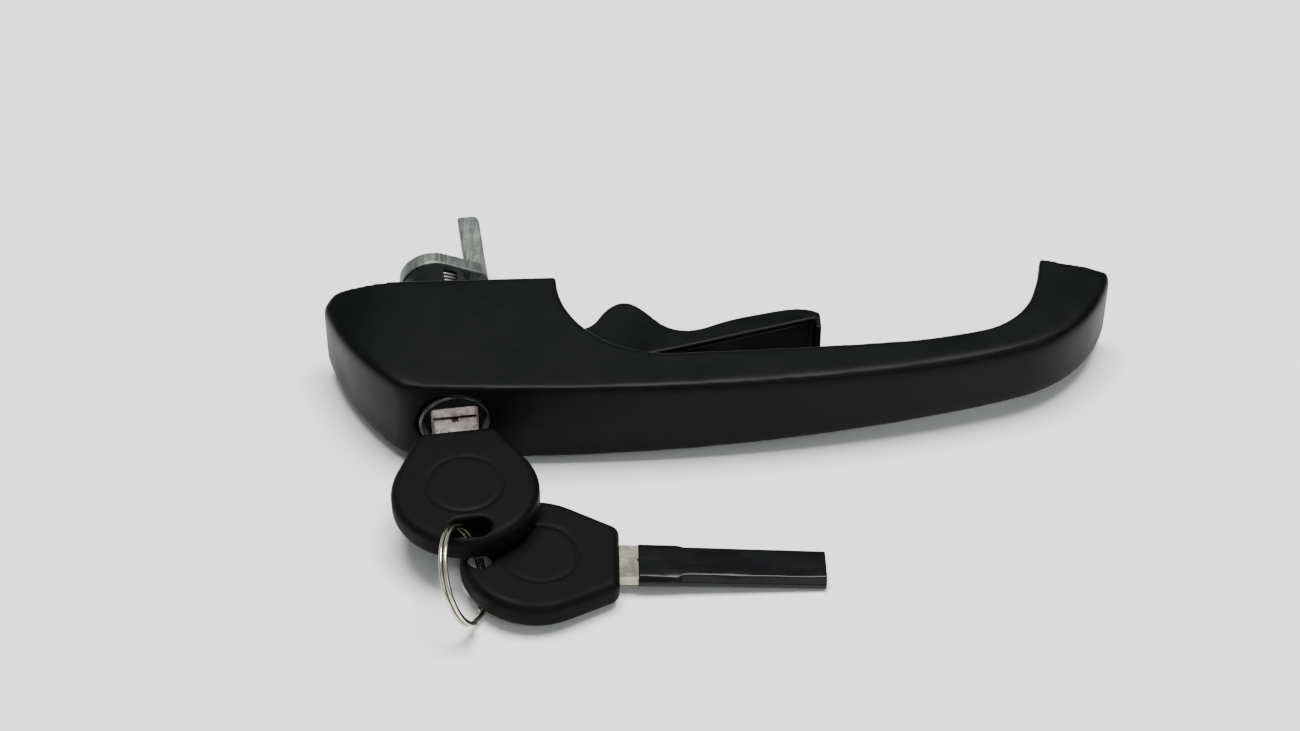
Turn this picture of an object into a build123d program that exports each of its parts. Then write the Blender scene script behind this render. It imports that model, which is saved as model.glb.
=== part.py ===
from build123d import *
from math import cos, radians, sin
import os

# Car door pull handle with a trigger, a key lock and two keys on a split ring.
# Millimetres. +X runs along the handle to the foot, +Y into the door, +Z up.
# The door skin is the plane y = 0. The origin is the lock-end fixing screw on that plane.

# Limits of every movement of the real object
#   trigger     hinge on its vertical pin, 0 to 12 deg, free end towards the grip, spring return
#   lock_turn   hinge on the lock axis, 50 deg each way, spring return to the middle
#   key_draw    slide out of the plug along the lock axis, 0 to 42 mm
#   ring_swing  hinge where the ring passes through the first key, 8 deg each way
#   key_2_swing hinge where the ring passes through the second key, 12 deg each way

# Handle body
PROFILE_Y = -42.0
SLOPE = 0.058
BASE_CAVITY_HALF = 9.8
GRIP_CAVITY_HALF = 8.6
GRIP_CAVITY_END = 114.0
FOOT_FACE = (174.05, 3.4)
FOOT_TURN = 14.27
SCREW_DRILL_R = 2.5
SCREW_DEPTH = 11.0
SCREW_BOSS_R = 4.8

# Lock
LOCK_X = 21.1
LOCK_Y = -35.9
LOCK_YAW = 6.0
CAP_R = 8.6
BARREL_R = 7.95
BARREL_REAR_R = 7.2
BARREL_END = 47.6
BOSS_R = 9.6
PLATE_W = 11.2
PLATE_H = 9.0
TAIL_GROOVE = 51.85
CLIP_T = 0.8
CUP_R = 8.8
CUP_START = 37.3
CUP_END = 47.4
SPRING_R = 7.75
LEVER_START = 47.75
PLUG_R = 6.4
PLUG_FLANGE_R = 6.9
KEYWAY_W = 10.2
KEYWAY_T = 2.9
TAIL = 6.0
WAFER_COUNT = 6
WAFER_PITCH = 4.6
WAFER_FIRST = 12.0
LEVER_HUB_R = 8.1
LEVER_HUB = (-0.8, -1.0)
LEVER_T = 4.0
FINGER_X = 10.3
FINGER_Z = 1.6
FINGER_W = 5.4
FINGER_T = 2.6
FINGER_L = 21.1
FINGER_MIDDLE = 60.8

# Trigger
PIVOT = (44.0, -12.0)
PIN_R = 2.0
TRIGGER_HALF = 8.0
STRIKER_X = 32.1
STRIKER_Y = -9.0
HUB_R = 4.2
TRIGGER_REAR = [
    (43.5, -7.9),
    (47.5, -10.2),
    (51.0, -12.6),
    (54.0, -11.6),
    (57.0, -7.4),
    (62.3, -3.6),
    (67.6, -7.2),
    (73.0, -12.9),
    (78.0, -14.1),
    (85.5, -11.7),
    (97.4, -8.5),
    (107.0, -7.8),
    (110.0, -9.2),
]
TRIGGER_FRONT = [
    (110.0, -14.5),
    (108.6, -14.5),
    (108.6, -11.2),
    (75.4, -20.3),
    (60.0, -24.0),
    (52.0, -21.5),
    (43.5, -16.1),
]
TRIGGER_INNER = [
    (46.0, -12.0),
    (51.0, -15.0),
    (55.0, -13.6),
    (58.6, -9.2),
    (62.3, -6.4),
    (66.2, -8.9),
    (71.8, -14.9),
    (78.2, -16.5),
    (86.2, -13.9),
    (97.6, -10.8),
    (108.6, -10.2),
]

# Keys and ring
KEY_T = 7.0
SLEEVE_T = 3.5
NOTCHES = [0.9, 1.5, 0.7, 1.3, 1.0, 0.6]
HEAD_L = 36.8
HEAD_R = 17.3
HEAD_NECK = 10.3
BLADE_W = 10.0
BLADE_NARROW = 7.6
BLADE_T = 2.6
BLADE_L = 46.5
SHANK_L = 13.0
EXPOSED = 5.3
HOLE_U = 32.2
KEY_2_START = (58.8, -74.7, -9.32)
KEY_2_TURN = 1.0
KEY_2_RISE = 3.18
RING_R = 11.3
RING_CENTRE = (23.2, -83.0, -2.33)
RING_TURN = -8.7
RING_LEAN = 20.0

YAW_C = cos(radians(LOCK_YAW))
YAW_S = sin(radians(LOCK_YAW))
LOCK = Plane(origin=(LOCK_X, LOCK_Y, 0), x_dir=(YAW_C, YAW_S, 0), z_dir=(-YAW_S, YAW_C, 0))

os.makedirs("parts", exist_ok=True)


def save(solid, name):
    solid.label = name
    export_step(solid, f"parts/{name}.step")


def lock_point(across, depth, height):
    """World point from a place across, into and above the lock axis."""
    return (
        LOCK_X + across * YAW_C - depth * YAW_S,
        LOCK_Y + across * YAW_S + depth * YAW_C,
        height,
    )


FOOT_C = cos(radians(FOOT_TURN))
FOOT_S = sin(radians(FOOT_TURN))
FOOT = Plane(origin=(*FOOT_FACE, 0), x_dir=(FOOT_C, -FOOT_S, 0), z_dir=(FOOT_S, FOOT_C, 0))

# ---------------------------------------------------------------- handle body
BASE_CAVITY = [
    (-6.0, 2.0),
    (-6.4, -5.5),
    (-1.4, -18.5),
    (8.6, -30.6),
    (13.0, -32.9),
    (52.0, -33.8),
    (52.0, -22.0),
    (43.2, -6.0),
    (43.2, 2.0),
]
GRIP_CAVITY = [
    (38.0, -33.6),
    (60.0, -34.0),
    (87.0, -32.9),
    (GRIP_CAVITY_END, -30.4),
    (GRIP_CAVITY_END, 2.0),
    (46.5, 2.0),
    (43.2, 0.2),
    (38.0, -3.0),
]
END_TOP = (-11.2, -2.8)
FRONT_CORNER = (8.8, -35.3)
REAR_CORNER = (46.0, 0.0)
FOOT_INNER = (165.4, 5.6)
FOOT_OUTER = (182.7, 1.2)
FRONT_JOINS = [(128.0, -31.6), (157.0, -25.3), FOOT_OUTER]
REAR_JOINS = [(60.9, -22.8), (74.0, -25.3), (127.9, -21.7), (149.0, -17.9), (161.8, -7.0), FOOT_INNER]


def arc_chain(start, heading, joins):
    """Arcs from point to point, each one tangent to the one before."""
    for end in joins:
        arc = TangentArc(start, end, tangent=heading)
        heading = arc % 1
        start = end


with BuildPart() as handle:
    with BuildSketch(Plane.XY.offset(-20)):
        with BuildLine():
            Line((-8.6, 0), REAR_CORNER)
            arc_chain(REAR_CORNER, (0, -1), REAR_JOINS)
            Line(FOOT_INNER, FOOT_OUTER)
            nose = ThreePointArc(FRONT_CORNER, (34.0, -36.7), (60.0, -37.1))
            arc_chain((60.0, -37.1), nose % 1, FRONT_JOINS)
            ThreePointArc(END_TOP, (-3.4, -20.9), FRONT_CORNER)
            Line(END_TOP, (-8.6, 0))
        make_face()
    extrude(amount=40)
    fillet(handle.edges().filter_by(Axis.Z).sort_by_distance((*FRONT_CORNER, 0))[0], radius=5)
    fillet(handle.edges().filter_by(Axis.Z).sort_by_distance((*END_TOP, 0))[0], radius=1.5)
    for side in (1, -1):
        with BuildSketch(Plane.XZ.offset(-PROFILE_Y)):
            with BuildLine():
                arc_chain((10.0, side * 11.35), (-1, 0), [(-14.0, side * 5.2)])
                arc_chain((10.0, side * 11.35), (1, 0), [(118.0, side * 9.2), (190.0, side * 7.3)])
                Line((190.0, side * 7.3), (190.0, -side * 60.0))
                Line((190.0, -side * 60.0), (-14.0, -side * 60.0))
                Line((-14.0, -side * 60.0), (-14.0, side * 5.2))
            make_face()
        extrude(amount=60, dir=(0, 1, side * SLOPE), mode=Mode.INTERSECT)
    rim = [e for e in handle.edges() if abs(e.center().Z) > 6.5 and e.center().Y < -1]
    fillet(rim, radius=0.7)

    # hollow base, open to the door, running out into a channel behind the grip
    with BuildSketch(Plane.XY.offset(-BASE_CAVITY_HALF)):
        Polygon(*BASE_CAVITY, align=None)
    extrude(amount=2 * BASE_CAVITY_HALF, mode=Mode.SUBTRACT)
    with BuildSketch(Plane.XY.offset(-GRIP_CAVITY_HALF)):
        Polygon(*GRIP_CAVITY, align=None)
    extrude(amount=2 * GRIP_CAVITY_HALF, mode=Mode.SUBTRACT)

    # bosses for the lock, the fixing screw and the trigger pin
    with BuildSketch(LOCK.offset(2.4)):
        Circle(BOSS_R)
    extrude(amount=38.0)
    with BuildSketch(Plane.XZ):
        Circle(SCREW_BOSS_R)
    extrude(amount=14.0)
    for side in (1, -1):
        with BuildSketch(Plane.XY.offset(side * (TRIGGER_HALF + 0.9))):
            with Locations(PIVOT):
                Circle(4.8)
        extrude(amount=side * 2.0)
    with Locations((20, 10, 0)):
        Box(80, 20, 40, mode=Mode.SUBTRACT)

    # bores
    with BuildSketch(LOCK.offset(-6)):
        Circle(CAP_R + 0.08)
    extrude(amount=8.4, mode=Mode.SUBTRACT)
    with BuildSketch(LOCK.offset(2.4)):
        Circle(BARREL_R + 0.03)
    extrude(amount=44.0, mode=Mode.SUBTRACT)
    with BuildSketch(Plane.XZ):
        Circle(SCREW_DRILL_R)
    extrude(amount=SCREW_DEPTH, mode=Mode.SUBTRACT)
    with BuildSketch(Plane.XY.offset(-16)):
        with Locations(PIVOT):
            Circle(PIN_R)
    extrude(amount=27.2, mode=Mode.SUBTRACT)
    with BuildSketch(FOOT.offset(1)):
        Circle(SCREW_DRILL_R)
    extrude(amount=-SCREW_DEPTH - 1, mode=Mode.SUBTRACT)
save(handle.part, "handle_body")

# ---------------------------------------------------------------- lock
with BuildPart() as cap:
    with BuildSketch(Plane.XZ):
        Polygon(
            (PLUG_FLANGE_R + 0.1, 2.35),
            (PLUG_FLANGE_R + 0.1, 0.95),
            (CAP_R - 0.75, 0.05),
            (CAP_R - 0.45, -0.15),
            (CAP_R - 0.15, -0.05),
            (CAP_R, 0.25),
            (CAP_R, 2.35),
            align=None,
        )
    revolve(axis=Axis.Z)
save(LOCK * cap.part, "lock_cap")

with BuildPart() as barrel:
    with BuildSketch(Plane.XY.offset(2.45)):
        Circle(BARREL_R)
    extrude(amount=36.0)
    with BuildSketch(Plane.XY.offset(38.45)):
        Circle(BARREL_REAR_R)
    extrude(amount=BARREL_END - 38.45)
    with BuildSketch(Plane.XY.offset(2)):
        Circle(PLUG_R + 0.05)
    extrude(amount=50, mode=Mode.SUBTRACT)
save(LOCK * barrel.part, "lock_barrel")

wafer_places = [WAFER_FIRST + WAFER_PITCH * i for i in range(WAFER_COUNT)]

with BuildPart() as plug:
    with BuildSketch(Plane.XY.offset(1.0)):
        Circle(PLUG_FLANGE_R)
    extrude(amount=1.4)
    with BuildSketch(Plane.XY.offset(2.4)):
        Circle(PLUG_R)
    extrude(amount=BARREL_END + 0.1 - 2.4)
    with BuildSketch(Plane.XY.offset(BARREL_END + 0.1)):
        RectangleRounded(TAIL, TAIL, 0.8)
    extrude(amount=6.6)
    with BuildSketch(Plane.XY.offset(TAIL_GROOVE)):
        Rectangle(12, 12)
        Circle(2.85, mode=Mode.SUBTRACT)
    extrude(amount=CLIP_T + 0.1, mode=Mode.SUBTRACT)
    with Locations((0, 0, 1.0)):
        Box(KEYWAY_W, KEYWAY_T, 2 * 42.8, mode=Mode.SUBTRACT)
    with BuildSketch(Plane.XY.offset(0.9)):
        RectangleRounded(PLATE_W + 0.04, PLATE_H + 0.04, 0.92)
    extrude(amount=0.9, mode=Mode.SUBTRACT)
    for depth in wafer_places:
        with Locations((0, 0, depth)):
            Box(14, 5.8, 1.2, mode=Mode.SUBTRACT)
            with Locations((0, 3.6, 0)):
                Box(1.3, 2.0, 1.2, mode=Mode.SUBTRACT)
save(LOCK * plug.part, "lock_plug")

with BuildPart() as plate:
    with BuildSketch(Plane.XY.offset(0.45)):
        RectangleRounded(PLATE_W, PLATE_H, 0.9)
        Rectangle(KEYWAY_W, KEYWAY_T + 0.6, mode=Mode.SUBTRACT)
    extrude(amount=1.3)
save(LOCK * plate.part, "keyway_plate")

with BuildPart() as wafers:
    for depth in wafer_places:
        with BuildSketch(Plane.XY.offset(depth - 0.5)):
            Rectangle(11.2, 5.6)
            Rectangle(BLADE_NARROW + 0.2, BLADE_T + 0.2, mode=Mode.SUBTRACT)
        extrude(amount=1.0)
save(LOCK * wafers.part, "wafers")

with BuildPart() as wafer_springs:
    for depth in wafer_places:
        with BuildSketch(Plane.XZ.offset(-2.85)):
            with Locations((0, depth)):
                Circle(0.5)
                Circle(0.28, mode=Mode.SUBTRACT)
        extrude(amount=-1.7)
save(LOCK * wafer_springs.part, "wafer_springs")

with BuildPart() as cup:
    with BuildSketch(Plane.XY.offset(CUP_START)):
        Circle(CUP_R)
    extrude(amount=CUP_END - CUP_START)
    with BuildSketch(Plane.XY.offset(CUP_START - 1)):
        Circle(BARREL_R + 0.05)
    extrude(amount=2.0, mode=Mode.SUBTRACT)
    with BuildSketch(Plane.XY.offset(CUP_START + 0.8)):
        Circle(CUP_R - 0.5)
    extrude(amount=20, mode=Mode.SUBTRACT)
    with Locations(Location((0, 0, 43.2), (0, 0, 24))):
        with Locations((0, -8.5, 0)):
            Box(3.6, 2.0, 4.6, mode=Mode.SUBTRACT)
save(LOCK * cup.part, "spring_cup")

with BuildPart() as return_spring:
    with BuildLine(Plane.XY.offset(39.2)) as coil_line:
        Helix(pitch=1.25, height=6.25, radius=SPRING_R)
    with BuildSketch(Plane(origin=coil_line.line @ 0, z_dir=coil_line.line % 0)):
        Circle(0.4)
    sweep(path=coil_line.line)
save(LOCK * return_spring.part, "lock_return_spring")

with BuildPart() as finger:
    with BuildSketch(Plane.XZ.offset(FINGER_Z - FINGER_T / 2)):
        with Locations((FINGER_X, FINGER_MIDDLE)):
            Rectangle(FINGER_W, FINGER_L)
    extrude(amount=FINGER_T)
    outer = finger.edges().filter_by(Axis.Y).group_by(Axis.Z)[-1].sort_by(Axis.X)[-1]
    fillet(outer, radius=1.8)
    fillet(finger.edges(), radius=0.45)

with BuildPart() as lever:
    with BuildSketch(Plane.XY.offset(LEVER_START)):
        with Locations(LEVER_HUB):
            Circle(LEVER_HUB_R)
        with Locations((FINGER_X, -FINGER_Z)):
            Circle(2.8)
        make_hull()
        RectangleRounded(TAIL + 0.1, TAIL + 0.1, 0.8, mode=Mode.SUBTRACT)
    extrude(amount=LEVER_T)
    add(finger.part)
save(LOCK * lever.part, "crank_lever")

with BuildPart() as clip:
    with BuildSketch(Plane.XY.offset(TAIL_GROOVE + 0.05)):
        Circle(5.6)
        Circle(2.9, mode=Mode.SUBTRACT)
        with Locations((0, 4)):
            Rectangle(3.6, 8, mode=Mode.SUBTRACT)
    extrude(amount=CLIP_T)
save(LOCK * clip.part, "plug_clip")

# ---------------------------------------------------------------- trigger
with BuildPart() as trigger:
    with BuildSketch(Plane.XY.offset(-TRIGGER_HALF)):
        with BuildLine():
            Spline(*TRIGGER_REAR)
            Polyline(TRIGGER_REAR[-1], *TRIGGER_FRONT, TRIGGER_REAR[0])
        make_face()
    extrude(amount=2 * TRIGGER_HALF)
    with BuildSketch(Plane.XY.offset(-TRIGGER_HALF + 1.8)):
        with BuildLine():
            Spline(*TRIGGER_INNER)
            Polyline(TRIGGER_INNER[-1], (108.6, -40.0), (46.0, -40.0), TRIGGER_INNER[0])
        make_face()
    extrude(amount=2 * (TRIGGER_HALF - 1.8), mode=Mode.SUBTRACT)
    with BuildSketch(Plane.XY.offset(-TRIGGER_HALF - 0.5)):
        with Locations(PIVOT):
            Circle(HUB_R)
    extrude(amount=2 * TRIGGER_HALF + 1.0)
    with BuildSketch(Plane.XY.offset(3.2)):
        with Locations(PIVOT):
            Circle(HUB_R + 1.7)
            Circle(HUB_R, mode=Mode.SUBTRACT)
    extrude(amount=TRIGGER_HALF - 1.8 - 3.2, mode=Mode.SUBTRACT)
    with BuildSketch(Plane.XY.offset(-3.1)):
        with Locations(PIVOT):
            Circle(3.0)
        with Locations((STRIKER_X, STRIKER_Y)):
            Circle(3.1)
        make_hull()
    extrude(amount=6.2)
    with BuildSketch(Plane.XZ.offset(4.0)):
        with Locations((STRIKER_X, 0)):
            Circle(3.7)
    extrude(amount=9.0)
    with BuildSketch(Plane.XZ.offset(-5)):
        with Locations((STRIKER_X, 0)):
            Circle(2.52)
    extrude(amount=30, mode=Mode.SUBTRACT)
    with BuildSketch(Plane.XY.offset(-20)):
        with Locations(PIVOT):
            Circle(PIN_R + 0.04)
    extrude(amount=40, mode=Mode.SUBTRACT)
save(trigger.part, "trigger")

with BuildPart() as pin:
    with BuildSketch(Plane.XY.offset(-12.9)):
        with Locations(PIVOT):
            Circle(PIN_R - 0.01)
    extrude(amount=24.0)
    chamfer(pin.edges(), 0.4)
save(pin.part, "trigger_pin")

with BuildPart() as trigger_spring:
    with BuildLine(Plane.XY.offset(3.7)) as torsion_line:
        Helix(pitch=1.0, height=2.0, radius=HUB_R + 0.75)
    with BuildSketch(Plane(origin=torsion_line.line @ 0, z_dir=torsion_line.line % 0)):
        Circle(0.35)
    sweep(path=torsion_line.line)
save(Pos(*PIVOT, 0) * trigger_spring.part, "trigger_spring")

with BuildPart() as screw:
    with BuildSketch(Plane.XZ.offset(15.0)):
        with Locations((STRIKER_X, 0)):
            Circle(2.5)
    extrude(amount=-23.0)
    fillet(screw.edges().sort_by(Axis.Y)[-1], radius=1.2)
    with Locations((STRIKER_X, -15.0, 0)):
        Box(6, 2.0, 0.9, mode=Mode.SUBTRACT)
save(screw.part, "adjusting_screw")

with BuildPart() as nut:
    with BuildSketch(Plane.XZ.offset(0.9)):
        with Locations((STRIKER_X, 0)):
            RegularPolygon(radius=4.0, side_count=6, major_radius=False)
            Circle(2.52, mode=Mode.SUBTRACT)
    extrude(amount=3.0)
save(nut.part, "lock_nut")


# ---------------------------------------------------------------- keys and ring
def key_blade(notched):
    """Blade lying along -x from the neck of the head, its tang inside the head."""
    with BuildPart() as blade:
        with BuildSketch(Plane.XY.offset(-BLADE_T / 2)):
            with BuildLine():
                Polyline(
                    (7.0, -BLADE_W / 2),
                    (-SHANK_L, -BLADE_W / 2),
                    (-SHANK_L - 1.2, -BLADE_NARROW / 2),
                    (-BLADE_L + 2.6, -BLADE_NARROW / 2),
                    (-BLADE_L, -1.2),
                    (-BLADE_L, 1.2),
                    (-BLADE_L + 2.6, BLADE_NARROW / 2),
                    (-SHANK_L - 1.2, BLADE_NARROW / 2),
                    (-SHANK_L, BLADE_W / 2),
                    (7.0, BLADE_W / 2),
                    close=True,
                )
            make_face()
        extrude(amount=BLADE_T)
        with Locations((-BLADE_L / 2, 0, BLADE_T / 2), (-BLADE_L / 2, 0, -BLADE_T / 2)):
            Box(BLADE_L - 8, 1.6, 1.1, mode=Mode.SUBTRACT)
        if notched:
            for step, depth in enumerate(NOTCHES):
                place = -(WAFER_FIRST + WAFER_PITCH * step + EXPOSED + 0.3)
                for edge in (1, -1):
                    with Locations(Location((place, edge * BLADE_NARROW / 2, 0), (0, 0, 45))):
                        Box(depth, depth, 6, mode=Mode.SUBTRACT)
    return blade.part


def key_head():
    """Moulded head with a shallow round recess on each face and a slot for the ring."""
    with BuildPart() as head:
        with BuildSketch(Plane.XY.offset(-KEY_T / 2)):
            with Locations((HEAD_L - HEAD_R, 0)):
                Circle(HEAD_R)
            for edge in (1, -1):
                with Locations((2.6, edge * (HEAD_NECK - 2.6))):
                    Circle(2.6)
            make_hull()
        extrude(amount=KEY_T)
        fillet(head.edges().group_by(Axis.Z)[-1], radius=2.0)
        fillet(head.edges().group_by(Axis.Z)[0], radius=2.0)
        for side in (1, -1):
            with Locations((18.4, 0, side * (KEY_T / 2 + 0.3))):
                Torus(8.8, 0.6, mode=Mode.SUBTRACT)
        with BuildSketch(Plane.XY.offset(-KEY_T)):
            with Locations((HOLE_U, 0)):
                SlotOverall(9.6, 5.8, rotation=90)
        extrude(amount=2 * KEY_T, mode=Mode.SUBTRACT)
        slot_rim = [e for e in head.edges() if e.center().X > 28 and abs(e.center().Y) < 5]
        chamfer([e for e in slot_rim if abs(abs(e.center().Z) - KEY_T / 2) < 0.1], 0.5)
        with Locations((3.51, 0, 0)):
            Box(7.06, BLADE_W + 0.04, BLADE_T + 0.04, mode=Mode.SUBTRACT)
    return head.part


blade_1 = key_blade(True)
blade_2 = key_blade(False)
head = key_head()
key_1 = Plane(origin=lock_point(0, -EXPOSED, 0), x_dir=(YAW_S, -YAW_C, 0), z_dir=(0, 0, 1))
save(key_1 * blade_1, "key_1_blade")
save(key_1 * head, "key_1_head")

turn_c = cos(radians(KEY_2_TURN))
turn_s = sin(radians(KEY_2_TURN))
rise_c = cos(radians(KEY_2_RISE))
rise_s = sin(radians(KEY_2_RISE))
key_2 = Plane(
    origin=KEY_2_START,
    x_dir=(-turn_c * rise_c, turn_s * rise_c, rise_s),
    z_dir=(turn_c * rise_s, -turn_s * rise_s, rise_c),
)
save(key_2 * blade_2, "key_2_blade")
save(key_2 * head, "key_2_head")

with BuildPart() as sleeve:
    with BuildSketch(Plane.YZ.offset(-13.6)):
        RectangleRounded(BLADE_W + 1.0, SLEEVE_T, 1.0)
    extrude(amount=13.6 - 4.4)
    with BuildSketch(Plane.YZ.offset(-47.9)):
        RectangleRounded(BLADE_NARROW + 1.0, SLEEVE_T, 1.0)
    extrude(amount=47.9 - 13.6)
    with BuildSketch(Plane.XY.offset(-BLADE_T / 2 - 0.03)):
        Polygon(
            (0, -BLADE_W / 2 - 0.03),
            (-SHANK_L - 0.03, -BLADE_W / 2 - 0.03),
            (-SHANK_L - 1.23, -BLADE_NARROW / 2 - 0.03),
            (-BLADE_L - 0.1, -BLADE_NARROW / 2 - 0.03),
            (-BLADE_L - 0.1, BLADE_NARROW / 2 + 0.03),
            (-SHANK_L - 1.23, BLADE_NARROW / 2 + 0.03),
            (-SHANK_L - 0.03, BLADE_W / 2 + 0.03),
            (0, BLADE_W / 2 + 0.03),
            align=None,
        )
    extrude(amount=BLADE_T + 0.06, mode=Mode.SUBTRACT)
save(key_2 * sleeve.part, "blade_sleeve")

lean_c = cos(radians(RING_LEAN))
lean_s = sin(radians(RING_LEAN))
ring_plane = Plane(
    origin=RING_CENTRE,
    x_dir=(-sin(radians(RING_TURN)), cos(radians(RING_TURN)), 0),
    z_dir=(cos(radians(RING_TURN)) * lean_c, sin(radians(RING_TURN)) * lean_c, lean_s),
)
with BuildPart() as ring:
    with BuildSketch(Plane.XZ):
        with Locations((RING_R, 0)):
            RectangleRounded(1.1, 1.8, 0.4)
        for edge in (0.62, -0.62):
            with Locations(Location((RING_R + edge, 0), 45)):
                Rectangle(0.45, 0.45, mode=Mode.SUBTRACT)
    revolve(axis=Axis.Z)
save(ring_plane * ring.part, "split_ring")
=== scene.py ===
from math import cos, pi, radians, sin

import bmesh
import bpy
import numpy as np
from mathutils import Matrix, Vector, noise


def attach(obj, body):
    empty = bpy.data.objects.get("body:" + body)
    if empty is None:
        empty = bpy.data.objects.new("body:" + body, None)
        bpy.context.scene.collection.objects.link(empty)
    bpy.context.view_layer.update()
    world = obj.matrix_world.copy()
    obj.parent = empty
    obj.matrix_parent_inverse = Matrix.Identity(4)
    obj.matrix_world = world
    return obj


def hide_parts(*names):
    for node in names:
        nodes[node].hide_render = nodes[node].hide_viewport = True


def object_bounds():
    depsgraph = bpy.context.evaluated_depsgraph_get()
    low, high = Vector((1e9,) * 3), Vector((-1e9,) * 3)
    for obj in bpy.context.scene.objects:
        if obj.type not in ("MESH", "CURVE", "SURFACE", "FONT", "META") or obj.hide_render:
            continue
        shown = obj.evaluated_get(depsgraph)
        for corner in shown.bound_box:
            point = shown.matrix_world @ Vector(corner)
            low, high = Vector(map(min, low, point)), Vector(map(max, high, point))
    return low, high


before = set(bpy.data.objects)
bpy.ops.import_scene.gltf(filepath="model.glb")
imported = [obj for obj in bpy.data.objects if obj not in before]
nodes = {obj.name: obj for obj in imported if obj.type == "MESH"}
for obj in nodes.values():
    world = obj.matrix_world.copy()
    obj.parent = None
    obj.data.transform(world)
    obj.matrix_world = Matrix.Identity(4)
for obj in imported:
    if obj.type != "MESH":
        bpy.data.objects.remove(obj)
cad_low, cad_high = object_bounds()
MM = 0.001

# ------------------------------------------------------------------ camera, floor and light
FLOOR_SIZE = 3.2
FLOOR_MIDDLE = (0.08, 0.0, 0.0)
CAMERA_PLACE = (0.0470, -0.5459, 0.5014)
CAMERA_TURN = (radians(46.5), 0.0, radians(-2.3))
CAMERA_LENS = 83.08
SENSOR_WIDTH = 36.0
CAMERA_REACH = 20.0
HANDLE_MIDDLE = (0.085, -0.03, 0.0)
ROOM_TINT = (0.90, 0.93, 0.93, 1.0)
ROOM_STRENGTH = 0.38


def show(made):
    """Puts an object in the scene."""
    bpy.context.scene.collection.objects.link(made)


camera_data = bpy.data.cameras.new("viewing_camera")
camera_data.sensor_width = SENSOR_WIDTH
camera_data.lens = CAMERA_LENS
camera_data.clip_end = CAMERA_REACH
camera = bpy.data.objects.new("viewing_camera", camera_data)
camera.location = CAMERA_PLACE
camera.rotation_euler = CAMERA_TURN
show(camera)
bpy.context.scene.camera = camera


def soft_light(name, place, aim, size, power, tint):
    """A rectangular studio panel at a place, facing a point."""
    panel = bpy.data.lights.new(name, "AREA")
    panel.shape = "RECTANGLE"
    panel.size = size[0]
    panel.size_y = size[1]
    panel.energy = power
    panel.color = tint
    lamp = bpy.data.objects.new(name, panel)
    lamp.location = place
    lamp.rotation_euler = (Vector(aim) - Vector(place)).to_track_quat("-Z", "Y").to_euler()
    show(lamp)


soft_light("ceiling_panel", (0.12, 0.12, 1.30), HANDLE_MIDDLE, (0.95, 0.55), 44.0, (1.0, 0.995, 0.98))
soft_light("front_panel", (0.55, -1.05, 0.85), HANDLE_MIDDLE, (0.9, 0.7), 5.0, (0.98, 0.99, 1.0))

room = bpy.data.worlds.new("pale_room")
room.use_nodes = True
room.node_tree.nodes["Background"].inputs["Color"].default_value = ROOM_TINT
room.node_tree.nodes["Background"].inputs["Strength"].default_value = ROOM_STRENGTH
bpy.context.scene.world = room


# ------------------------------------------------------------------ node helpers
def group(name, inputs, outputs):
    """A shader node group with named number or colour inputs and outputs."""
    kinds = {"value": "NodeSocketFloat", "colour": "NodeSocketColor"}
    tree = bpy.data.node_groups.new(name, "ShaderNodeTree")
    for label, kind, start in inputs:
        socket = tree.interface.new_socket(label, in_out="INPUT", socket_type=kinds[kind])
        socket.default_value = start
    for label, kind in outputs:
        tree.interface.new_socket(label, in_out="OUTPUT", socket_type=kinds[kind])
    given = tree.nodes.new("NodeGroupInput")
    result = tree.nodes.new("NodeGroupOutput")
    return tree, given.outputs, result.inputs


def add(tree, kind, wires=None, **settings):
    """Adds a node, sets its properties and joins or fills its inputs."""
    node = tree.nodes.new(kind)
    for key, value in settings.items():
        setattr(node, key, value)
    for key, value in (wires or {}).items():
        if isinstance(value, bpy.types.NodeSocket):
            tree.links.new(value, node.inputs[key])
        else:
            node.inputs[key].default_value = value
    return node


def maths(tree, operation, first, second=0.0, clamp=False):
    """A Math node's result from two values or sockets."""
    node = add(tree, "ShaderNodeMath", {0: first, 1: second}, operation=operation, use_clamp=clamp)
    return node.outputs["Value"]


def spread(tree, value, low, high, to_low=0.0, to_high=1.0):
    """Stretches a value from one range to another."""
    wires = {"Value": value, "From Min": low, "From Max": high, "To Min": to_low, "To Max": to_high}
    return add(tree, "ShaderNodeMapRange", wires).outputs["Result"]


def blend_colours(tree, factor, first, second):
    """Mixes two colours."""
    node = add(tree, "ShaderNodeMix", data_type="RGBA")
    for socket, value in ((node.inputs[0], factor), (node.inputs[6], first), (node.inputs[7], second)):
        if isinstance(value, bpy.types.NodeSocket):
            tree.links.new(value, socket)
        else:
            socket.default_value = value
    return node.outputs[2]


def local_place(tree):
    """The place on the piece, in metres."""
    return add(tree, "ShaderNodeTexCoord").outputs["Object"]


def patches(tree, place, scale, detail=3.0, roughness=0.5, distortion=0.0):
    """Soft random patches from 0 to 1."""
    wires = {"Vector": place, "Scale": scale, "Detail": detail, "Roughness": roughness}
    wires["Distortion"] = distortion
    return add(tree, "ShaderNodeTexNoise", wires).outputs["Fac"]


def stretch(tree, place, factors):
    """The place with each axis stretched by its own factor."""
    return add(tree, "ShaderNodeVectorMath", {0: place, 1: factors}, operation="MULTIPLY").outputs["Vector"]


def turn_flat(tree, place, angle):
    """The place turned about the vertical."""
    wires = {"Vector": place, "Angle": angle}
    return add(tree, "ShaderNodeVectorRotate", wires, rotation_type="Z_AXIS").outputs["Vector"]


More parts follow.
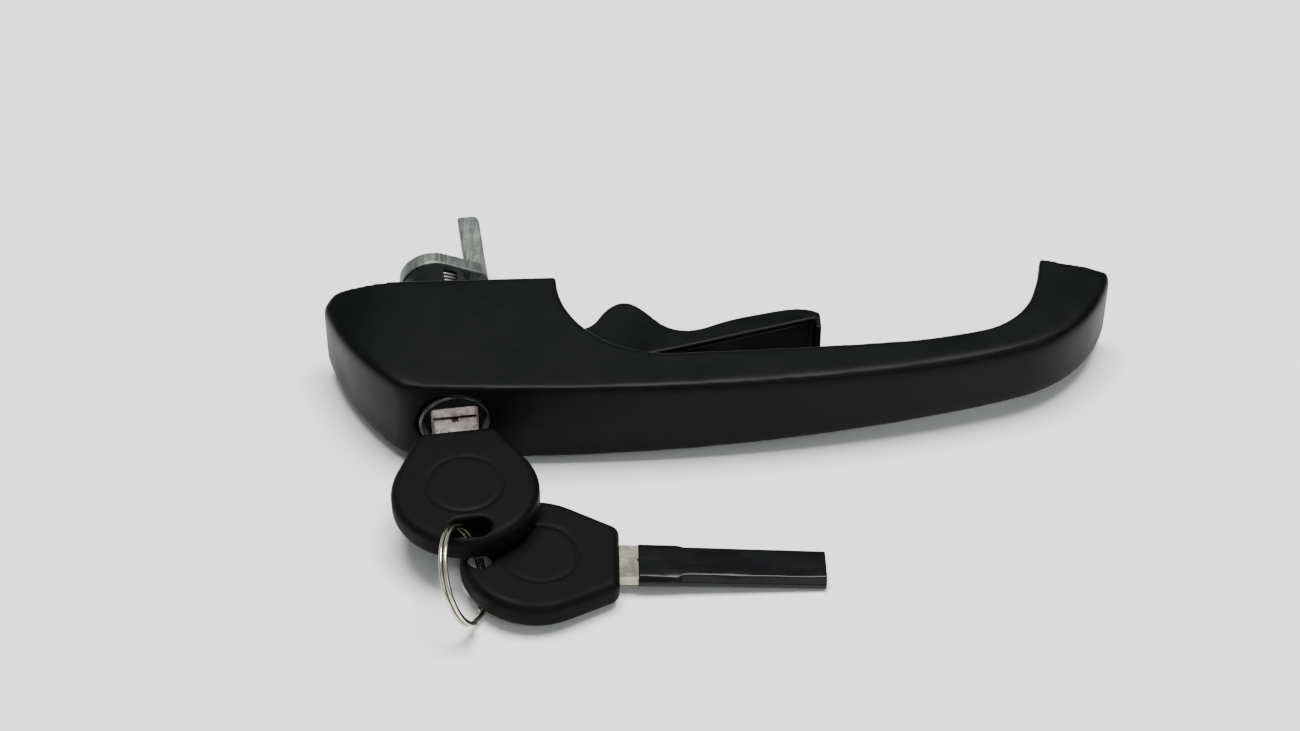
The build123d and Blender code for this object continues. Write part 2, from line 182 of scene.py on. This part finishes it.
# ------------------------------------------------------------------ shared surface effects
def make_fine_grain():
    """Sprayed or moulded grain with soft mottling."""
    tree, given, result = group(
        "fine_grain",
        [
            ("Dark", "colour", (0.01, 0.01, 0.01, 1)),
            ("Light", "colour", (0.02, 0.02, 0.02, 1)),
            ("Grain", "value", 1400.0),
            ("Mottle", "value", 60.0),
            ("Smooth", "value", 0.38),
            ("Rough", "value", 0.52),
        ],
        [("Color", "colour"), ("Roughness", "value"), ("Height", "value")],
    )
    place = local_place(tree)
    fine = patches(tree, place, given["Grain"], 2.0, 0.6)
    broad = patches(tree, place, given["Mottle"], 4.0, 0.6)
    coarse = maths(tree, "MULTIPLY", given["Grain"], 0.31)
    middle = patches(tree, place, coarse, 2.0, 0.5)
    tone = maths(tree, "ADD", maths(tree, "MULTIPLY", fine, 0.45), maths(tree, "MULTIPLY", broad, 0.55))
    tone = spread(tree, tone, 0.32, 0.68)
    tree.links.new(blend_colours(tree, tone, given["Dark"], given["Light"]), result["Color"])
    tree.links.new(spread(tree, broad, 0.35, 0.65, given["Smooth"], given["Rough"]), result["Roughness"])
    height = maths(tree, "ADD", maths(tree, "MULTIPLY", fine, 0.6), maths(tree, "MULTIPLY", middle, 0.4))
    tree.links.new(height, result["Height"])
    return tree


def make_rubbed_edges():
    """A mask that is 1 on rubbed outside edges and 0 elsewhere."""
    tree, given, result = group(
        "rubbed_edges",
        [("Width", "value", 0.0006), ("Amount", "value", 1.0), ("Breaks", "value", 220.0)],
        [("Mask", "value")],
    )
    rounded = add(tree, "ShaderNodeBevel", {"Radius": given["Width"]}, samples=6).outputs["Normal"]
    flat = add(tree, "ShaderNodeNewGeometry").outputs["Normal"]
    same = add(tree, "ShaderNodeVectorMath", {0: rounded, 1: flat}, operation="DOT_PRODUCT").outputs["Value"]
    turned = spread(tree, maths(tree, "SUBTRACT", 1.0, same), 0.01, 0.10)
    broken = spread(tree, patches(tree, local_place(tree), given["Breaks"], 4.0, 0.6), 0.42, 0.62)
    worn = maths(tree, "MULTIPLY", maths(tree, "MULTIPLY", turned, broken), given["Amount"], clamp=True)
    tree.links.new(worn, result["Mask"])
    return tree


def make_brushed_lines():
    """Fine lines drawn along one direction, turned about the vertical."""
    tree, given, result = group(
        "brushed_lines",
        [
            ("Turn", "value", 0.0),
            ("Spacing", "value", 2600.0),
            ("Smooth", "value", 0.2),
            ("Rough", "value", 0.4),
        ],
        [("Tone", "value"), ("Roughness", "value"), ("Height", "value")],
    )
    drawn = stretch(tree, turn_flat(tree, local_place(tree), given["Turn"]), (0.03, 1.0, 1.0))
    lines = patches(tree, drawn, given["Spacing"], 3.0, 0.7)
    broad = patches(tree, local_place(tree), 180.0, 3.0)
    tree.links.new(spread(tree, lines, 0.3, 0.7), result["Tone"])
    mixed = maths(tree, "ADD", maths(tree, "MULTIPLY", lines, 0.6), maths(tree, "MULTIPLY", broad, 0.4))
    tree.links.new(spread(tree, mixed, 0.35, 0.65, given["Smooth"], given["Rough"]), result["Roughness"])
    tree.links.new(lines, result["Height"])
    return tree


def make_hair_scratches():
    """Sparse thin scratches in two directions."""
    tree, given, result = group(
        "hair_scratches",
        [("Scale", "value", 120.0), ("Amount", "value", 0.5)],
        [("Mask", "value")],
    )
    place = local_place(tree)
    masks = []
    for angle, squeeze in ((0.5, (0.05, 1.0, 1.0)), (2.3, (0.08, 1.2, 1.0))):
        wires = {"Vector": stretch(tree, turn_flat(tree, place, angle), squeeze), "Scale": given["Scale"]}
        cells = add(tree, "ShaderNodeTexVoronoi", wires, feature="DISTANCE_TO_EDGE")
        masks.append(spread(tree, cells.outputs["Distance"], 0.0, 0.012, 1.0, 0.0))
    where = spread(tree, patches(tree, place, 90.0, 3.0), 0.5, 0.7)
    both = maths(tree, "MULTIPLY", maths(tree, "MAXIMUM", *masks), where)
    tree.links.new(maths(tree, "MULTIPLY", both, given["Amount"], clamp=True), result["Mask"])
    return tree


FINE_GRAIN = make_fine_grain()
RUBBED_EDGES = make_rubbed_edges()
BRUSHED_LINES = make_brushed_lines()
HAIR_SCRATCHES = make_hair_scratches()


def shaded(name, **plain):
    """A new material with one Principled shader, its plain sockets set."""
    material = bpy.data.materials.new(name)
    material.use_nodes = True
    tree = material.node_tree
    shader = tree.nodes["Principled BSDF"]
    for label, value in plain.items():
        shader.inputs[label.replace("_", " ")].default_value = value
    return material, tree, shader


def use(tree, effect, **values):
    """Places a shared effect with its own values."""
    node = tree.nodes.new("ShaderNodeGroup")
    node.node_tree = effect
    for label, value in values.items():
        node.inputs[label].default_value = value
    return node.outputs


def coat(tree, shader, colour, roughness):
    """Feeds a colour and a roughness to the shader."""
    tree.links.new(colour, shader.inputs["Base Color"])
    tree.links.new(roughness, shader.inputs["Roughness"])


def press_in(tree, shader, height, depth, strength):
    """Feeds a height to the shader's normal."""
    bump = add(tree, "ShaderNodeBump", {"Height": height, "Strength": strength, "Distance": depth})
    tree.links.new(bump.outputs["Normal"], shader.inputs["Normal"])


def satin_black_paint(name, dark, light, smooth, rough, grain, edge):
    """Black paint on a casting: fine spray grain, thin rubbing on the edges."""
    material, tree, shader = shaded(name, Specular_IOR_Level=0.07)
    paint = use(
        tree, FINE_GRAIN, Dark=dark, Light=light, Smooth=smooth, Rough=rough, Grain=grain, Mottle=55.0
    )
    rubbed = use(tree, RUBBED_EDGES, Width=0.0007, Amount=edge, Breaks=160.0)["Mask"]
    colour = blend_colours(tree, rubbed, paint["Color"], (0.014, 0.015, 0.014, 1))
    polish = maths(tree, "MULTIPLY", rubbed, 0.10)
    coat(tree, shader, colour, maths(tree, "SUBTRACT", paint["Roughness"], polish))
    press_in(tree, shader, paint["Height"], 0.00006, 0.55)
    return material


def soft_black_rubber():
    """Matte moulded rubber of the key heads, slightly polished by handling."""
    material, tree, shader = shaded("soft_black_rubber", Specular_IOR_Level=0.06)
    skin = use(
        tree,
        FINE_GRAIN,
        Dark=(0.0010, 0.0014, 0.0012, 1),
        Light=(0.0026, 0.0031, 0.0028, 1),
        Grain=2400.0,
        Mottle=110.0,
        Smooth=0.50,
        Rough=0.68,
    )
    rubbed = use(tree, RUBBED_EDGES, Width=0.0009, Amount=0.5, Breaks=260.0)["Mask"]
    colour = blend_colours(tree, rubbed, skin["Color"], (0.009, 0.010, 0.009, 1))
    coat(tree, shader, colour, skin["Roughness"])
    press_in(tree, shader, skin["Height"], 0.00008, 0.6)
    return material


def shrink_film():
    """Glossy black film round the spare blade, with fine puckers."""
    material, tree, shader = shaded("shrink_film", Specular_IOR_Level=0.16)
    place = local_place(tree)
    pucker = patches(tree, stretch(tree, place, (0.25, 1.0, 1.0)), 300.0, 2.0, 0.5, 0.4)
    mottle = spread(tree, patches(tree, place, 140.0, 3.0), 0.35, 0.65)
    colour = blend_colours(tree, mottle, (0.0018, 0.0019, 0.0023, 1), (0.0032, 0.0034, 0.0038, 1))
    scuffs = use(tree, HAIR_SCRATCHES, Scale=260.0, Amount=0.5)["Mask"]
    base = spread(tree, pucker, 0.3, 0.7, 0.20, 0.30)
    coat(tree, shader, colour, maths(tree, "ADD", base, maths(tree, "MULTIPLY", scuffs, 0.25)))
    press_in(tree, shader, pucker, 0.00025, 0.35)
    return material


def bright_steel(name, turn, base, deep, smooth, rough, scuff, stain_scale=240.0):
    """Plated or stamped steel with fine drawn lines and scuffs."""
    material, tree, shader = shaded(name, Metallic=1.0)
    lines = use(tree, BRUSHED_LINES, Turn=turn, Smooth=smooth, Rough=rough)
    scratches = use(tree, HAIR_SCRATCHES, Scale=300.0, Amount=scuff)["Mask"]
    stain = spread(tree, patches(tree, local_place(tree), stain_scale, 4.0, 0.65), 0.45, 0.70)
    tone = blend_colours(tree, lines["Tone"], base, deep)
    stained = tuple(0.45 * v for v in base[:3]) + (1.0,)
    tone = blend_colours(tree, maths(tree, "MULTIPLY", stain, scuff), tone, stained)
    tone = blend_colours(tree, scratches, tone, (0.85, 0.84, 0.80, 1))
    coat(tree, shader, tone, maths(tree, "ADD", lines["Roughness"], maths(tree, "MULTIPLY", stain, 0.15)))
    press_in(tree, shader, lines["Height"], 0.00002, 0.4)
    return material


def nickel_plate():
    """Bright nickel plate with a warm cast and thin wear."""
    material, tree, shader = shaded("nickel_plate", Metallic=1.0)
    place = local_place(tree)
    cloud = patches(tree, place, 260.0, 4.0, 0.6)
    scratches = use(tree, HAIR_SCRATCHES, Scale=420.0, Amount=0.8)["Mask"]
    tone = blend_colours(tree, spread(tree, cloud, 0.35, 0.7), (0.74, 0.71, 0.62, 1), (0.50, 0.46, 0.36, 1))
    tone = blend_colours(tree, scratches, tone, (0.30, 0.28, 0.24, 1))
    base = spread(tree, cloud, 0.3, 0.7, 0.12, 0.26)
    coat(tree, shader, tone, maths(tree, "ADD", base, maths(tree, "MULTIPLY", scratches, 0.2)))
    press_in(tree, shader, cloud, 0.00003, 0.4)
    return material


def cast_zinc():
    """Dull cast zinc with flow streaks, dark stains and rubbed edges."""
    material, tree, shader = shaded("cast_zinc", Metallic=0.85)
    place = local_place(tree)
    streaks = patches(tree, stretch(tree, place, (1.0, 0.10, 1.0)), 900.0, 5.0, 0.65, 0.8)
    pits = patches(tree, place, 1500.0, 3.0, 0.6)
    stain = spread(tree, patches(tree, place, 130.0, 4.0, 0.6), 0.42, 0.70)
    tone = spread(tree, streaks, 0.3, 0.7)
    tone = blend_colours(tree, tone, (0.055, 0.065, 0.060, 1), (0.205, 0.228, 0.212, 1))
    tone = blend_colours(tree, maths(tree, "MULTIPLY", stain, 0.55), tone, (0.040, 0.047, 0.043, 1))
    rubbed = use(tree, RUBBED_EDGES, Width=0.0006, Amount=0.9, Breaks=300.0)["Mask"]
    tone = blend_colours(tree, rubbed, tone, (0.36, 0.38, 0.36, 1))
    rough = spread(tree, streaks, 0.3, 0.7, 0.40, 0.62)
    coat(tree, shader, tone, maths(tree, "SUBTRACT", rough, maths(tree, "MULTIPLY", rubbed, 0.15)))
    height = maths(tree, "ADD", maths(tree, "MULTIPLY", streaks, 0.7), maths(tree, "MULTIPLY", pits, 0.3))
    press_in(tree, shader, height, 0.00015, 0.6)
    return material


def black_rim_worn_and_highlit():
    """Black plated metal, bright along the rim: partly worn metal, partly a painted highlight."""
    material, tree, shader = shaded("black_rim_worn_and_highlit", Metallic=0.6)
    skin = use(
        tree,
        FINE_GRAIN,
        Dark=(0.010, 0.011, 0.011, 1),
        Light=(0.026, 0.027, 0.026, 1),
        Grain=1800.0,
        Mottle=200.0,
        Smooth=0.26,
        Rough=0.42,
    )
    rubbed = use(tree, RUBBED_EDGES, Width=0.0004, Amount=1.0, Breaks=420.0)["Mask"]
    # painted highlight: the bright rim colour stands partly for worn metal and partly for light catching the
    # rim
    colour = blend_colours(tree, rubbed, skin["Color"], (0.30, 0.295, 0.275, 1))
    coat(tree, shader, colour, skin["Roughness"])
    press_in(tree, shader, skin["Height"], 0.00005, 0.5)
    return material


def turned_brass():
    """Yellow brass of the wafers, dulled by old grease."""
    material, tree, shader = shaded("turned_brass", Metallic=1.0)
    lines = use(tree, BRUSHED_LINES, Turn=1.2, Smooth=0.28, Rough=0.45)
    dull = spread(tree, patches(tree, local_place(tree), 320.0, 4.0), 0.4, 0.7)
    tone = blend_colours(tree, lines["Tone"], (0.66, 0.50, 0.24, 1), (0.50, 0.37, 0.16, 1))
    coat(tree, shader, blend_colours(tree, dull, tone, (0.20, 0.15, 0.08, 1)), lines["Roughness"])
    press_in(tree, shader, lines["Height"], 0.00002, 0.4)
    return material


BLACK_PAINT = satin_black_paint(
    "satin_black_paint", (0.0011, 0.0015, 0.0014, 1), (0.0022, 0.0028, 0.0026, 1), 0.36, 0.46, 1300.0, 0.45
)
TRIGGER_PAINT = satin_black_paint(
    "trigger_black_paint", (0.0012, 0.0017, 0.0016, 1), (0.0028, 0.0034, 0.0032, 1), 0.34, 0.48, 900.0, 0.6
)
BLACK_BARREL = satin_black_paint(
    "oiled_black_metal", (0.0040, 0.0044, 0.0046, 1), (0.0100, 0.0106, 0.0112, 1), 0.28, 0.44, 1600.0, 0.9
)
KEY_RUBBER = soft_black_rubber()
SLEEVE_FILM = shrink_film()
ZINC = cast_zinc()
RIM_BLACK = black_rim_worn_and_highlit()
NICKEL = nickel_plate()
BRASS = turned_brass()
PLATE_STEEL = bright_steel(
    "stamped_plate_steel", 0.1, (0.74, 0.68, 0.66, 1), (0.42, 0.38, 0.37, 1), 0.24, 0.42, 0.9, 900.0
)
BLADE_STEEL = bright_steel(
    "key_blade_steel", -0.02, (0.40, 0.39, 0.31, 1), (0.30, 0.29, 0.22, 1), 0.22, 0.36, 0.5
)
LOCK_BLADE_STEEL = bright_steel(
    "turned_blade_steel", 1.47, (0.72, 0.67, 0.64, 1), (0.44, 0.41, 0.39, 1), 0.22, 0.36, 0.8, 700.0
)
SPRING_WIRE = bright_steel(
    "spring_wire_steel", 0.6, (0.36, 0.36, 0.35, 1), (0.22, 0.22, 0.21, 1), 0.22, 0.40, 0.4
)
PIN_STEEL = bright_steel(
    "plated_pin_steel", 0.0, (0.52, 0.53, 0.52, 1), (0.38, 0.39, 0.38, 1), 0.24, 0.40, 0.5
)

FINISHES = {
    "handle_body": BLACK_PAINT,
    "trigger": TRIGGER_PAINT,
    "lock_cap": RIM_BLACK,
    "lock_barrel": BLACK_BARREL,
    "spring_cup": BLACK_BARREL,
    "lock_plug": BLACK_BARREL,
    "keyway_plate": PLATE_STEEL,
    "wafers": BRASS,
    "wafer_springs": SPRING_WIRE,
    "lock_return_spring": SPRING_WIRE,
    "trigger_spring": SPRING_WIRE,
    "trigger_pin": PIN_STEEL,
    "adjusting_screw": PIN_STEEL,
    "lock_nut": PIN_STEEL,
    "plug_clip": SPRING_WIRE,
    "crank_lever": ZINC,
    "key_1_head": KEY_RUBBER,
    "key_2_head": KEY_RUBBER,
    "key_1_blade": LOCK_BLADE_STEEL,
    "key_2_blade": BLADE_STEEL,
    "blade_sleeve": SLEEVE_FILM,
    "split_ring": NICKEL,
}
for name, finish in FINISHES.items():
    nodes[name].data.materials.clear()
    nodes[name].data.materials.append(finish)


def floor_card():
    """Plain pale studio floor."""
    half = FLOOR_SIZE / 2
    mesh = bpy.data.meshes.new("studio_floor")
    level = cad_low[2]
    corners = [(-half, -half, level), (half, -half, level), (half, half, level), (-half, half, level)]
    mesh.from_pydata(corners, [], [(0, 1, 2, 3)])
    floor = bpy.data.objects.new("studio_floor", mesh)
    floor.location = FLOOR_MIDDLE
    show(floor)
    material, tree, shader = shaded("pale_card", Specular_IOR_Level=0.35)
    tone = spread(tree, patches(tree, local_place(tree), 9.0, 3.0), 0.3, 0.7)
    colour = blend_colours(tree, tone, (0.760, 0.772, 0.766, 1), (0.790, 0.800, 0.796, 1))
    coat(tree, shader, colour, spread(tree, tone, 0.0, 1.0, 0.46, 0.54))
    mesh.materials.append(material)


floor_card()


# ------------------------------------------------------------------ mesh helpers
def eased(part):
    """Holds a value between 0 and 1 and rounds off both ends of its rise."""
    part = min(1.0, max(0.0, part))
    return part * part * (3 - 2 * part)


def stand_in(name, mesh, body, node):
    """Shows a mesh on its body, in place of its CAD node."""
    for polygon in mesh.polygons:
        polygon.use_smooth = True
    mesh.materials.clear()
    mesh.materials.append(FINISHES[node])
    made = bpy.data.objects.new(name, mesh)
    show(made)
    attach(made, body)
    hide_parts(node)


def piece(name, vertices, faces, body, slot, node):
    """Makes a new mesh that stands in for a CAD node."""
    mesh = bpy.data.meshes.new(name)
    mesh.from_pydata([Vector(v) for v in vertices], [], faces)
    mesh.validate()
    shape = bmesh.new()
    shape.from_mesh(mesh)
    bmesh.ops.recalc_face_normals(shape, faces=shape.faces)
    shape.to_mesh(mesh)
    shape.free()
    stand_in(name, mesh, body, node)


def bridge_rings(rings):
    """Vertices and faces of a closed skin over rings of equal count."""
    count = len(rings[0])
    vertices = [point for ring in rings for point in ring]
    faces = []
    for row in range(len(rings) - 1):
        for k in range(count):
            after = (k + 1) % count
            low = row * count
            faces.append((low + k, low + after, low + count + after, low + count + k))
    faces.append(tuple(range(count)))
    faces.append(tuple((len(rings) - 1) * count + k for k in range(count)))
    return vertices, faces


# ------------------------------------------------------------------ softened castings and mouldings
def gap_to_line(points, line):
    """Distance seen from above, in millimetres, from each point to a line of corners."""
    nearest = np.full(len(points), 1e6)
    flat = points[:, :2] / MM
    for start, end in zip(line[:-1], line[1:]):
        a, b = np.array(start), np.array(end)
        along = np.clip(((flat - a) @ (b - a)) / ((b - a) @ (b - a)), 0.0, 1.0)
        nearest = np.minimum(nearest, np.linalg.norm(flat - (a + along[:, None] * (b - a)), axis=1))
    return nearest


def softened_copy(name, node, cell, rounds, weight, body, relief=None):
    """An even skin over a CAD node, its edges eased where the weight is high, then its relief added."""
    mesh = nodes[node].data.copy()
    shape = bmesh.new()
    shape.from_mesh(mesh)
    bmesh.ops.remove_doubles(shape, verts=shape.verts, dist=1e-6)
    shape.to_mesh(mesh)
    shape.free()
    rough = bpy.data.objects.new("skin_source", mesh)
    show(rough)
    skin = rough.modifiers.new("skin", "REMESH")
    skin.mode = "VOXEL"
    skin.voxel_size = cell
    skin.adaptivity = 0.0
    result = bpy.data.meshes.new_from_object(rough.evaluated_get(bpy.context.evaluated_depsgraph_get()))
    bpy.data.objects.remove(rough)
    places = np.zeros(len(result.vertices) * 3)
    result.vertices.foreach_get("co", places)
    places = places.reshape(-1, 3)
    ends = np.zeros(len(result.edges) * 2, dtype=np.int64)
    result.edges.foreach_get("vertices", ends)
    first, second = ends.reshape(-1, 2).T
    joined = np.concatenate([first, second])
    other = np.concatenate([second, first])
    count = np.maximum(np.bincount(joined, minlength=len(places)), 1)
    pull = weight(places)[:, None]
    for _ in range(rounds):
        middle = np.stack([np.bincount(joined, places[other, k], len(places)) for k in range(3)], axis=1)
        places = places + pull * (middle / count[:, None] - places)
    if relief:
        places = relief(places)
    result.vertices.foreach_set("co", places.ravel())
    result.update()
    result.name = name
    stand_in(name, result, body, node)


# corners of the handle's ridges seen from above, and how far each one's easing reaches, in millimetres
FRONT_RIDGE = [
    (8.8, -35.3),
    (34.0, -36.7),
    (60.0, -37.1),
    (95.0, -35.2),
    (128.0, -31.6),
    (157.0, -25.3),
    (170.0, -17.0),
    (179.0, -7.5),
    (182.7, 1.2),
]
END_RIDGE = [(-11.2, -2.8), (-3.4, -20.9), (8.8, -35.3)]
REAR_RIDGE = [
    (46.5, -6.0),
    (52.0, -16.5),
    (60.9, -22.8),
    (74.0, -25.3),
    (127.9, -21.7),
    (149.0, -17.9),
    (161.8, -7.0),
]
FRONT_REACH = 6.0
END_REACH = 5.5
REAR_REACH = 3.0
CRISP_UNTIL = 45.0
CRISP_FADE = 95.0


def handle_easing(places):
    """The ridge is crisp at the lock and grows rounder towards the foot; the end face is round."""
    front = np.clip(1.0 - gap_to_line(places, FRONT_RIDGE) / FRONT_REACH, 0.0, 1.0)
    end = np.clip(1.0 - gap_to_line(places, END_RIDGE) / END_REACH, 0.0, 1.0)
    rear = np.clip(1.0 - gap_to_line(places, REAR_RIDGE) / REAR_REACH, 0.0, 1.0)
    towards_foot = np.clip((places[:, 0] / MM - CRISP_UNTIL) / CRISP_FADE, 0.0, 1.0)
    return 0.04 + 0.62 * np.maximum(front * towards_foot, 0.85 * end) + 0.10 * rear * towards_foot


def even_easing(amount):
    """The same easing everywhere."""
    return lambda places: np.full(len(places), amount)


def cast_lumps(places):
    """Small uneven flow marks of a rough casting."""
    lumps = [noise.noise(Vector(p) * 420.0) + 0.5 * noise.noise(Vector(p) * 1100.0) for p in places]
    return places + np.outer(lumps, (0.03 * MM, 0.0, 0.05 * MM))


softened_copy("handle_casting", "handle_body", 0.45 * MM, 50, handle_easing, "handle")
softened_copy("trigger_casting", "trigger", 0.30 * MM, 7, even_easing(0.4), "trigger")
softened_copy(
    "crank_lever_casting", "crank_lever", 0.26 * MM, 5, even_easing(0.4), "plug", cast_lumps
)
softened_copy("key_1_moulded_head", "key_1_head", 0.28 * MM, 8, even_easing(0.45), "key_1")
softened_copy("key_2_moulded_head", "key_2_head", 0.28 * MM, 8, even_easing(0.45), "key_2")

# ------------------------------------------------------------------ split ring
RING_CENTRE = Vector((23.2, -83.0, -2.33)) * MM
RING_RADIUS = 11.24 * MM
RING_TURN = radians(-8.7)
RING_LEAN = radians(20.0)
RING_ENDS_AT = radians(265.0)
RING_JOG = radians(30.0)
RING_STEPS = 300
TURN_OFFSET = 0.57 * MM
WIRE_CORNER = 0.23 * MM
WIRE_FLAT_OUT = 0.32 * MM
WIRE_FLAT_ALONG = 0.14 * MM
BLUNT_TIP = (0.55, 0.9)


def split_ring():
    """Two turns of flat sprung wire side by side, each end lying against the step in the other turn."""
    normal = Vector((cos(RING_TURN) * cos(RING_LEAN), sin(RING_TURN) * cos(RING_LEAN), sin(RING_LEAN)))
    across = Vector((-sin(RING_TURN), cos(RING_TURN), 0.0))
    up = normal.cross(across)
    section = []
    for corner_x, corner_y, start in ((1, 1, 0), (-1, 1, 90), (-1, -1, 180), (1, -1, 270)):
        for step in range(4):
            angle = radians(start + step * 30)
            out = corner_x * WIRE_FLAT_OUT + WIRE_CORNER * cos(angle)
            section.append((out, corner_y * WIRE_FLAT_ALONG + WIRE_CORNER * sin(angle)))
    jog_start = 2 * pi - RING_JOG
    turns = 4 * pi - RING_JOG
    rings = []
    for k in range(RING_STEPS + 1):
        swept = turns * k / RING_STEPS
        angle = RING_ENDS_AT + swept
        offset = TURN_OFFSET * (2 * eased((swept - jog_start) / RING_JOG) - 1)
        edge = min(k, RING_STEPS - k)
        shrink = BLUNT_TIP[edge] if edge < len(BLUNT_TIP) else 1.0
        outward = across * cos(angle) + up * sin(angle)
        rings.append(
            [
                RING_CENTRE + outward * (RING_RADIUS + out * shrink) + normal * (offset + along * shrink)
                for out, along in section
            ]
        )
    piece("split_ring_wire", *bridge_rings(rings), "ring", "nickel", "split_ring")


split_ring()

# ------------------------------------------------------------------ spare key sleeve
SPARE_START = Vector((58.8, -74.7, -9.32)) * MM
SPARE_TURN = radians(1.0)
SPARE_RISE = radians(3.18)
TO_RING = Vector((-cos(SPARE_TURN) * cos(SPARE_RISE), sin(SPARE_TURN) * cos(SPARE_RISE), sin(SPARE_RISE)))
FACE_UP = Vector((cos(SPARE_TURN) * sin(SPARE_RISE), -sin(SPARE_TURN) * sin(SPARE_RISE), cos(SPARE_RISE)))
SIDEWAYS = FACE_UP.cross(TO_RING)


# the film's ends and its shoulder along the key, its half widths, half thickness and fold, in millimetres
FILM_START = -4.4
FILM_END = -47.9
SHOULDER_AT = 13.2
SHOULDER_LENGTH = 2.0
FILM_BACK = 5.55
FILM_FRONT = 5.60
FILM_HALF_THICK = 1.72
FOLD_AT = 4.95
FOLD_WIDTH = 1.4
SQUARENESS = 0.36
LOWEST = -1.78
HIGHEST = 1.90
FILM_ROWS = 120
FILM_COUNT = 64


def spare_point(along, across, height):
    """World point from a place on the spare key, in millimetres, measured from its neck to the ring end."""
    return SPARE_START + (TO_RING * along + SIDEWAYS * across + FACE_UP * height) * MM


def blade_sleeve():
    """Shrunk film round the spare blade: a step past the shoulder and long creases."""
    rings = []
    for row in range(FILM_ROWS + 1):
        part = row / FILM_ROWS
        along = FILM_START - (FILM_START - FILM_END) * part
        shoulder = eased((-along - SHOULDER_AT) / SHOULDER_LENGTH)
        back_edge = FILM_BACK - 0.45 * shoulder - 0.50 * part
        front_edge = FILM_FRONT - 0.12 * shoulder - 0.20 * part
        half_thick = FILM_HALF_THICK - 0.06 * shoulder
        fold = FOLD_AT - 0.95 * shoulder + 0.22 * noise.noise(Vector((along * 0.11, 8.0, 2.0)))
        wave = 0.16 * noise.noise(Vector((along * 0.22, 0.3, 7.0)))
        ring = []
        for k in range(FILM_COUNT):
            angle = 2 * pi * k / FILM_COUNT
            c, s = cos(angle), sin(angle)
            across = (front_edge if c > 0 else -back_edge) * (abs(c) ** SQUARENESS)
            height = half_thick * (abs(s) ** SQUARENESS) * (1 if s > 0 else -1)
            pucker = 0.08 * noise.noise(Vector((along * 0.15, angle * 1.0, 4.0)))
            pucker += 0.03 * noise.noise(Vector((along * 0.6, angle * 2.0, 9.0)))
            if s > 0:
                pucker += wave * max(0.0, 1.0 - abs(across - fold) / FOLD_WIDTH)
            height += (pucker if s > 0 else -pucker) * abs(s)
            if s > 0 and across > fold:
                height *= 1.0 - 0.70 * min(1.0, (across - fold) / (front_edge - fold))
            ring.append(spare_point(along, across, min(HIGHEST, max(LOWEST, height))))
        rings.append(ring)
    piece("shrink_sleeve", *bridge_rings(rings), "key_2", "sleeve_plastic", "blade_sleeve")


blade_sleeve()
